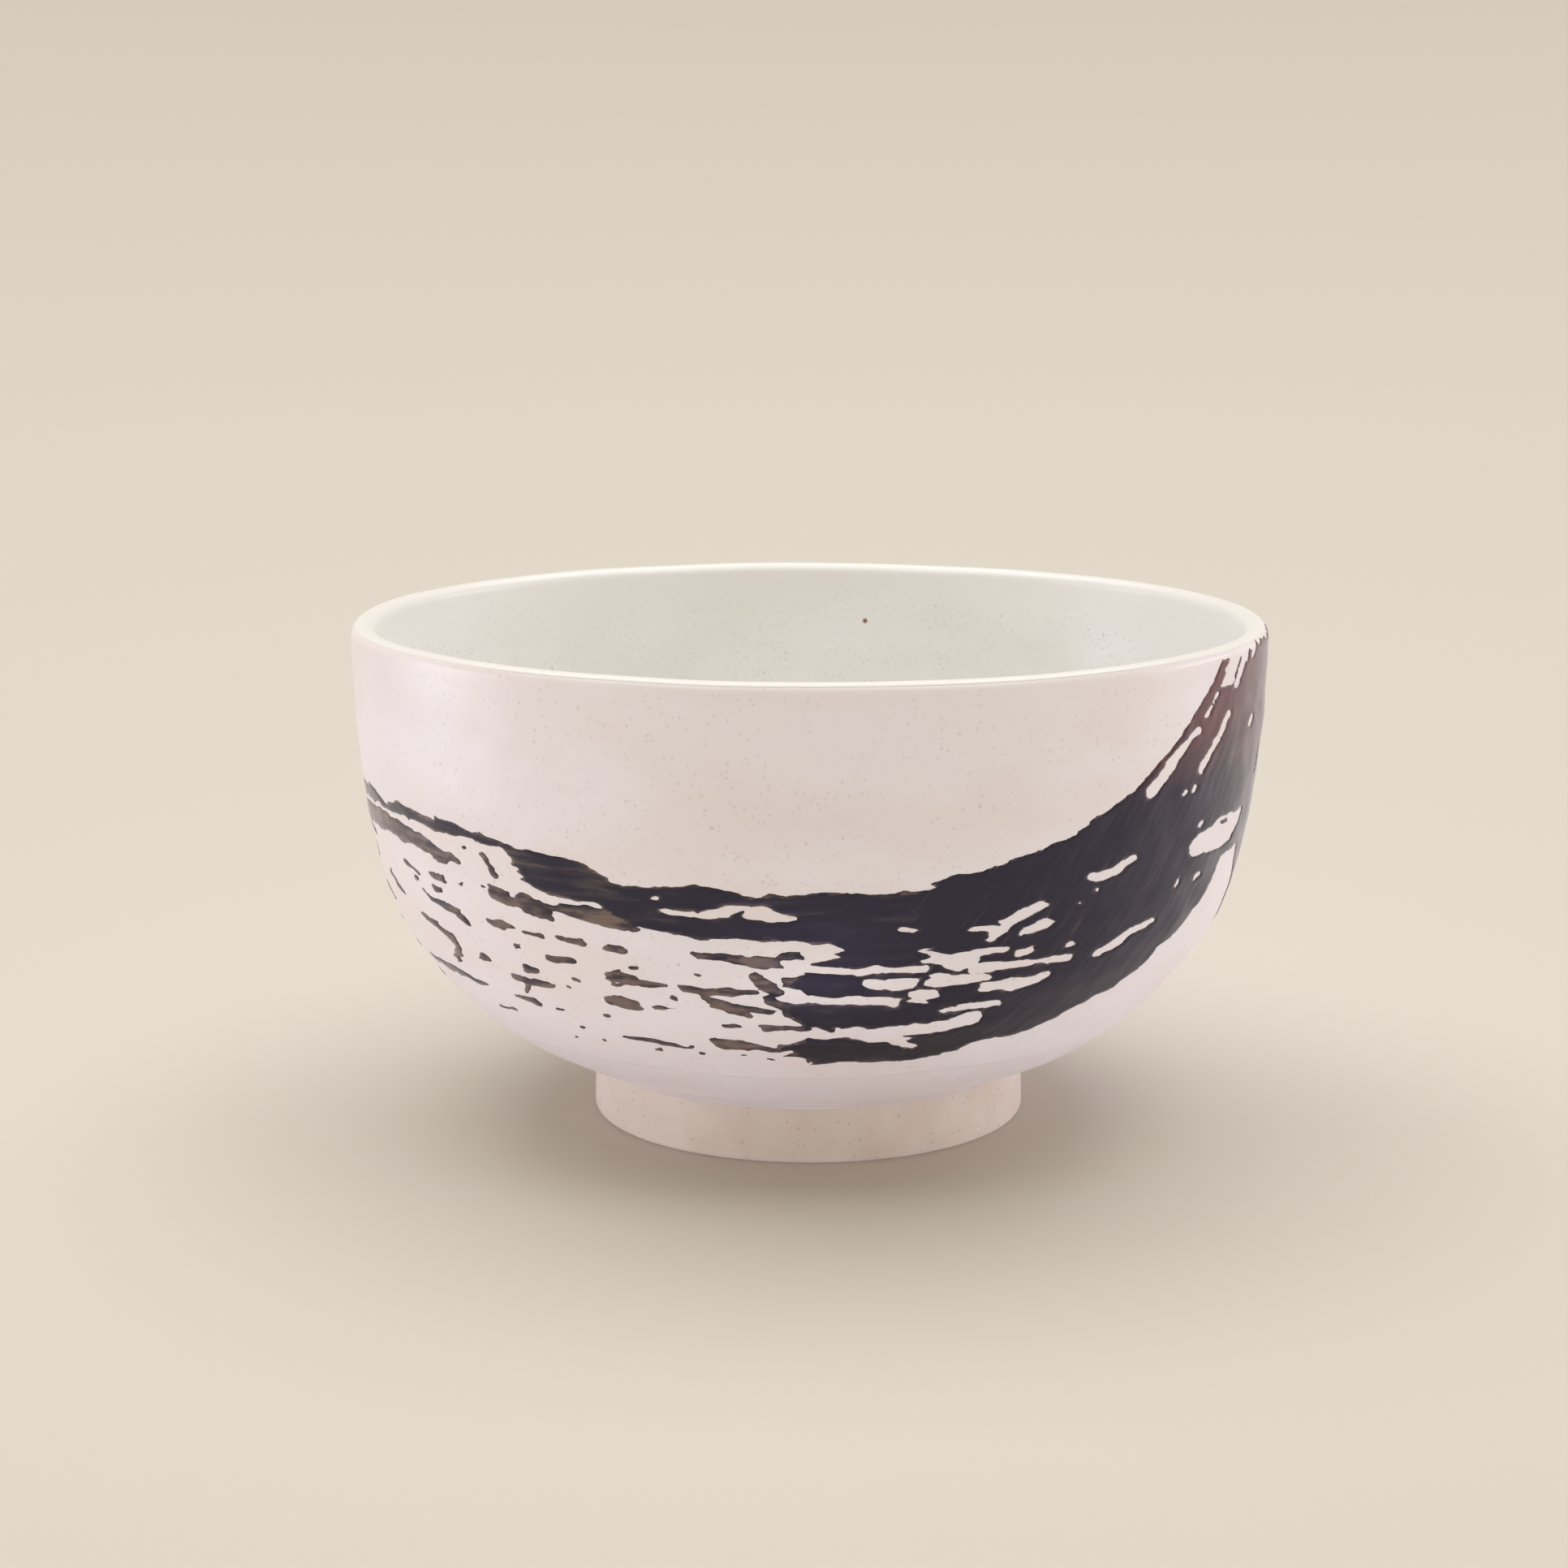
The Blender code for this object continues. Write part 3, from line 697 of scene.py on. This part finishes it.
# The sheet's height stands for how deep each point lies inside the stroke, so that a cut at height
# zero leaves the stroke's own outline. Then the sheet is rolled onto the wall.
spots = np.stack([x, z, depth], 1) * MM
stroke.data.vertices.foreach_set("co", spots.ravel())
pick(stroke)
bpy.ops.object.mode_set(mode="EDIT")
bpy.ops.mesh.select_all(action="SELECT")
bpy.ops.mesh.bisect(plane_co=(0, 0, 0), plane_no=(0, 0, 1), clear_inner=True, threshold=1e-9)
bpy.ops.object.mode_set(mode="OBJECT")
spots = np.empty(len(stroke.data.vertices) * 3)
stroke.data.vertices.foreach_get("co", spots)
x, z, depth = spots.reshape(-1, 3).T / MM

# The bristles run level round the belly and then rise. The film holds less iron at its edges, in the
# flecks, at its dry start on the left and at the lip, and it stands thickest just inside its edges.
climb = 1.7 * np.clip((x - 12) / 48, 0, 1)
lift = 1.7 * np.where(x < 60, np.clip(x - 12, 0, 48) ** 2 / 96, x - 36)
across = (z - lift) / (1 + climb)  # the same along each bristle
lean = swells(x / 9 + 220, across / 0.7 + 160, 5)
fleck = inside_outline(x, z, in_mm(SOLID)) < 0.2  # outside the solid part, or on its very edge
thin_at_lip = np.clip((z - 50) / 9, 0, 1) * np.clip((84 - x) / 20, 0, 1)
thin_to_left = 0.16 * np.clip(1 - (x + 24) / 30, 0, 1)
at_edge = np.clip(depth / 0.35, 0, 1) ** 0.5
solid_loading = at_edge * (0.92 + 0.2 * lean - 0.5 * thin_at_lip - thin_to_left)
fleck_loading = 0.25 + 0.18 * swells(x / 3.5 + 90, z / 2.5 + 30, 7) + 0.16 * np.exp(-depth / 0.18)
fleck_loading += 0.22 * swells(x / 0.8 + 150, z / 0.5 + 70, 10)
loading = np.clip(np.where(fleck, fleck_loading, solid_loading), 0, 1)
shoulder = np.clip(depth / edge_width, 0, 1)
bead = bead_height * np.exp(-(((depth - edge_width) / bead_width) ** 2))
height = np.sqrt(1 - (1 - shoulder) ** 2) * (0.75 + bead + 0.12 * lean)

wall = wall_outside() + over_lip(0)[:10]
angle = np.radians(x / mm_per_degree)
radius = np.interp(z * MM, [point.y for point in wall], [point.x for point in wall])
spots = np.stack([radius * np.sin(angle), -radius * np.cos(angle), z * MM], 1)
stroke.data.vertices.foreach_set("co", spots.ravel())
stroke.data.update()
rust = np.clip(thin_at_lip * (0.75 + 0.5 * swells(across / 3 + 230, z / 6 + 90, 9)), 0, 0.85)
for name, values in (("iron_loading", loading), ("rust", rust)):
    held = stroke.data.attributes.new(name, "FLOAT", "POINT")
    held.data.foreach_set("value", values.astype(np.float32))
corners = np.empty(len(stroke.data.loops), int)
stroke.data.loops.foreach_get("vertex_index", corners)
pull = np.stack([x + climb * z * 0.5, across], 1)[corners] / 100
stroke.data.uv_layers.new(name="pull").data.foreach_set("uv", pull.ravel())
thickness = stroke.vertex_groups.new(name="thickness")
for index, share in enumerate(height):
    thickness.add([index], float(min(share, 1)), "REPLACE")

# The sheet is laid on both coats, raised to its thickness, pressed in a little and closed underneath.
bpy.ops.object.select_all(action="DESELECT")
outer.select_set(True)
inner.select_set(True)
bpy.ops.object.duplicate()
bpy.context.view_layer.objects.active = bpy.context.selected_objects[0]
bpy.ops.object.join()
white_under = bpy.context.object
pick(stroke)
hug = stroke.modifiers.new("hug_the_wall", "SHRINKWRAP")
hug.target = white_under
hug.wrap_method = "NEAREST_SURFACEPOINT"
rise = stroke.modifiers.new("film", "DISPLACE")
rise.vertex_group = "thickness"
rise.strength = film_thickness
rise.mid_level = 0
bed = stroke.modifiers.new("bedded_edge", "DISPLACE")
bed.strength = -0.02 * MM
bed.mid_level = 0
close = stroke.modifiers.new("underside", "SOLIDIFY")
close.thickness = 0.12 * MM
close.offset = -1
for modifier in ("hug_the_wall", "film", "bedded_edge", "underside"):
    bpy.ops.object.modifier_apply(modifier=modifier)
bpy.data.objects.remove(white_under)
bpy.ops.object.shade_smooth()

# An iron glaze: nearly black and glossy where it lies thick, and brown, with the white glimmering
# through, where it is thin. The bristles left streaks in it along the pull, about 1 mm apart.
iron_glaze = bpy.data.materials.new("iron_glaze")
iron_glaze.use_nodes = True
iron_shader = iron_glaze.node_tree.nodes["Principled BSDF"]
loaded = node(iron_glaze, "ShaderNodeAttribute", {"attribute_name": "iron_loading"}).outputs["Fac"]
pulled = node(iron_glaze, "ShaderNodeUVMap", {"uv_map": "pull"}).outputs[0]
bristles = node(iron_glaze, "ShaderNodeMapping", None, {"Vector": pulled, "Scale": (14.0, 110.0, 1.0)})
streaks = node(
    iron_glaze, "ShaderNodeTexNoise", None, {"Vector": bristles.outputs[0], "Scale": 1.0, "Detail": 4.0}
)
streak = node(
    iron_glaze, "ShaderNodeMapRange", None,
    {"Value": streaks.outputs["Fac"], "From Min": 0.3, "From Max": 0.7, "To Min": -0.42, "To Max": 0.2},
)
thick = node(iron_glaze, "ShaderNodeMath", {"operation": "ADD"}, {0: loaded, 1: streak.outputs[0]})
iron_tone = node(iron_glaze, "ShaderNodeValToRGB", None, {"Fac": thick.outputs[0]})
tones = iron_tone.color_ramp.elements
tones[0].position, tones[0].color = 0.0, colour("#7C6C56")
tones[1].position, tones[1].color = 1.0, colour("#0B0A0E")
for position, shade in ((0.2, "#5E5140"), (0.42, "#3B332B"), (0.6, "#1A1719"), (0.8, "#0F0E12")):
    tones.new(position).color = colour(shade)
rusty = node(iron_glaze, "ShaderNodeAttribute", {"attribute_name": "rust"}).outputs["Fac"]
iron_colour = node(
    iron_glaze, "ShaderNodeMix", {"data_type": "RGBA"},
    {0: rusty, 6: iron_tone.outputs["Color"], 7: colour("#703E2B")},
).outputs[2]
iron_bump = node(
    iron_glaze, "ShaderNodeBump", None,
    {"Height": streaks.outputs["Fac"], "Strength": 0.55, "Distance": 0.12 * MM},
)
iron_gloss = node(
    iron_glaze, "ShaderNodeMapRange", None,
    {"Value": thick.outputs[0], "From Min": 0.1, "From Max": 0.9, "To Min": 0.26, "To Max": 0.18},
)
iron_glaze.node_tree.links.new(iron_colour, iron_shader.inputs["Base Color"])
iron_glaze.node_tree.links.new(iron_bump.outputs["Normal"], iron_shader.inputs["Normal"])
iron_glaze.node_tree.links.new(iron_bump.outputs["Normal"], iron_shader.inputs["Coat Normal"])
iron_glaze.node_tree.links.new(iron_gloss.outputs[0], iron_shader.inputs["Roughness"])
iron_shader.inputs["IOR"].default_value = 1.55
iron_shader.inputs["Specular Tint"].default_value = colour("#CFC6FF")
iron_shader.inputs["Coat Weight"].default_value = 0.42
iron_shader.inputs["Coat Roughness"].default_value = 0.12
iron_shader.inputs["Coat Tint"].default_value = colour("#E4DEFF")
iron_shader.inputs["Sheen Weight"].default_value = 0.16
iron_shader.inputs["Sheen Roughness"].default_value = 0.16
iron_shader.inputs["Sheen Tint"].default_value = colour("#DCD2FF")
stroke.data.materials.append(iron_glaze)
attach(stroke, "root")
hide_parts("brush_stroke")

# ---- Studio ----------------------------------------------------------------------------------------
# A round sweep of warm white paper, which curves up all round, one large soft light overhead, and
# weaker ones that reach only the bowl.

sweep_flat = 0.25
sweep_radius = 1.5
sweep_rise = radians(55)
bpy.ops.object.select_all(action="DESELECT")
bpy.ops.mesh.primitive_grid_add(x_subdivisions=120, y_subdivisions=60, size=1, location=(0, 0, 0))
sweep = bpy.context.object
sweep.name = "paper_sweep"
for vertex in sweep.data.vertices:
    around = vertex.co.x * 2 * pi
    along = (vertex.co.y + 0.5) * (sweep_flat + sweep_radius * sweep_rise)
    bend = max(along - sweep_flat, 0) / sweep_radius
    out = min(along, sweep_flat) + sweep_radius * sin(bend)
    vertex.co = (out * sin(around), -out * cos(around), sweep_radius * (1 - cos(bend)))
bpy.ops.object.mode_set(mode="EDIT")
bpy.ops.mesh.select_all(action="SELECT")
bpy.ops.mesh.remove_doubles(threshold=0.01 * MM)
bpy.ops.mesh.normals_make_consistent(inside=True)
bpy.ops.object.mode_set(mode="OBJECT")
bpy.ops.object.shade_smooth()
paper = bpy.data.materials.new("warm_paper")
paper.use_nodes = True
paper_shader = paper.node_tree.nodes["Principled BSDF"]
paper_shader.inputs["Base Color"].default_value = colour("#D9D4CD")
paper_shader.inputs["Roughness"].default_value = 0.9
sweep.data.materials.append(paper)

world = bpy.data.worlds.new("soft_room")
world.use_nodes = True
bpy.context.scene.world = world
room = world.node_tree.nodes["Background"]
room.inputs["Color"].default_value = colour("#FBE98E")
room.inputs["Strength"].default_value = 0.30

# The fills are kept off the paper with light linking, so that the bowl's shadow stays deep at the foot.
bowl_only = bpy.data.collections.new("bowl_only")
for piece in (body, ring, outer, inner, stroke):
    bowl_only.objects.link(piece)
lamps = (  # name, place, what it faces, side, watts, colour, and whether it reaches the bowl only
    ("overhead", (0.0, 0.13, 1.0), (0.0, 0.13, 0.0), 1.45, 14.5, "#F6F6FF", False),
    ("front_fill", (0.0, -1.2, 0.55), (0.0, 0.0, 0.05), 0.6, 0.6, "#EFEDFF", True),
    ("front_low", (0.05, -0.65, -0.9), (0.0, 0.0, 0.02), 0.5, 3.0, "#EFEDFF", True),
    ("left_panel", (-1.0, 0.1, 0.10), (0.0, 0.0, 0.04), 0.5, 3.6, "#ECEAFF", True),
    ("right_panel", (1.0, 0.3, 0.12), (0.0, 0.0, 0.04), 0.6, 4.2, "#F0ECFF", True),
    ("back_low", (0.75, 0.95, -0.25), (0.0, 0.0, 0.04), 0.6, 2.8, "#E6DEFF", True),
)
for name, place, target, side, power, shade, fill in lamps:
    lamp = bpy.data.lights.new(name, "AREA")
    lamp.size = side
    lamp.energy = power
    lamp.color = colour(shade)[:3]
    holder = bpy.data.objects.new(name, lamp)
    holder.location = place
    holder.rotation_euler = (Vector(target) - Vector(place)).to_track_quat("-Z", "Y").to_euler()
    bpy.context.scene.collection.objects.link(holder)
    if fill:
        holder.light_linking.receiver_collection = bowl_only
        holder.light_linking.blocker_collection = bowl_only

# The camera stands 0.43 m in front of the bowl, above its lip, and looks 10.6 degrees down.
camera = bpy.data.cameras.new("camera")
camera.lens = 50.0
camera.sensor_width = 24.0
camera.clip_start = 0.01
stand = bpy.data.objects.new("camera", camera)
stand.location = (-0.0033, -0.4283, 0.1240)
stand.rotation_euler = (radians(90 - 10.59), 0, 0)
bpy.context.scene.collection.objects.link(stand)
bpy.context.scene.camera = stand
bpy.context.scene.view_settings.view_transform = "Standard"
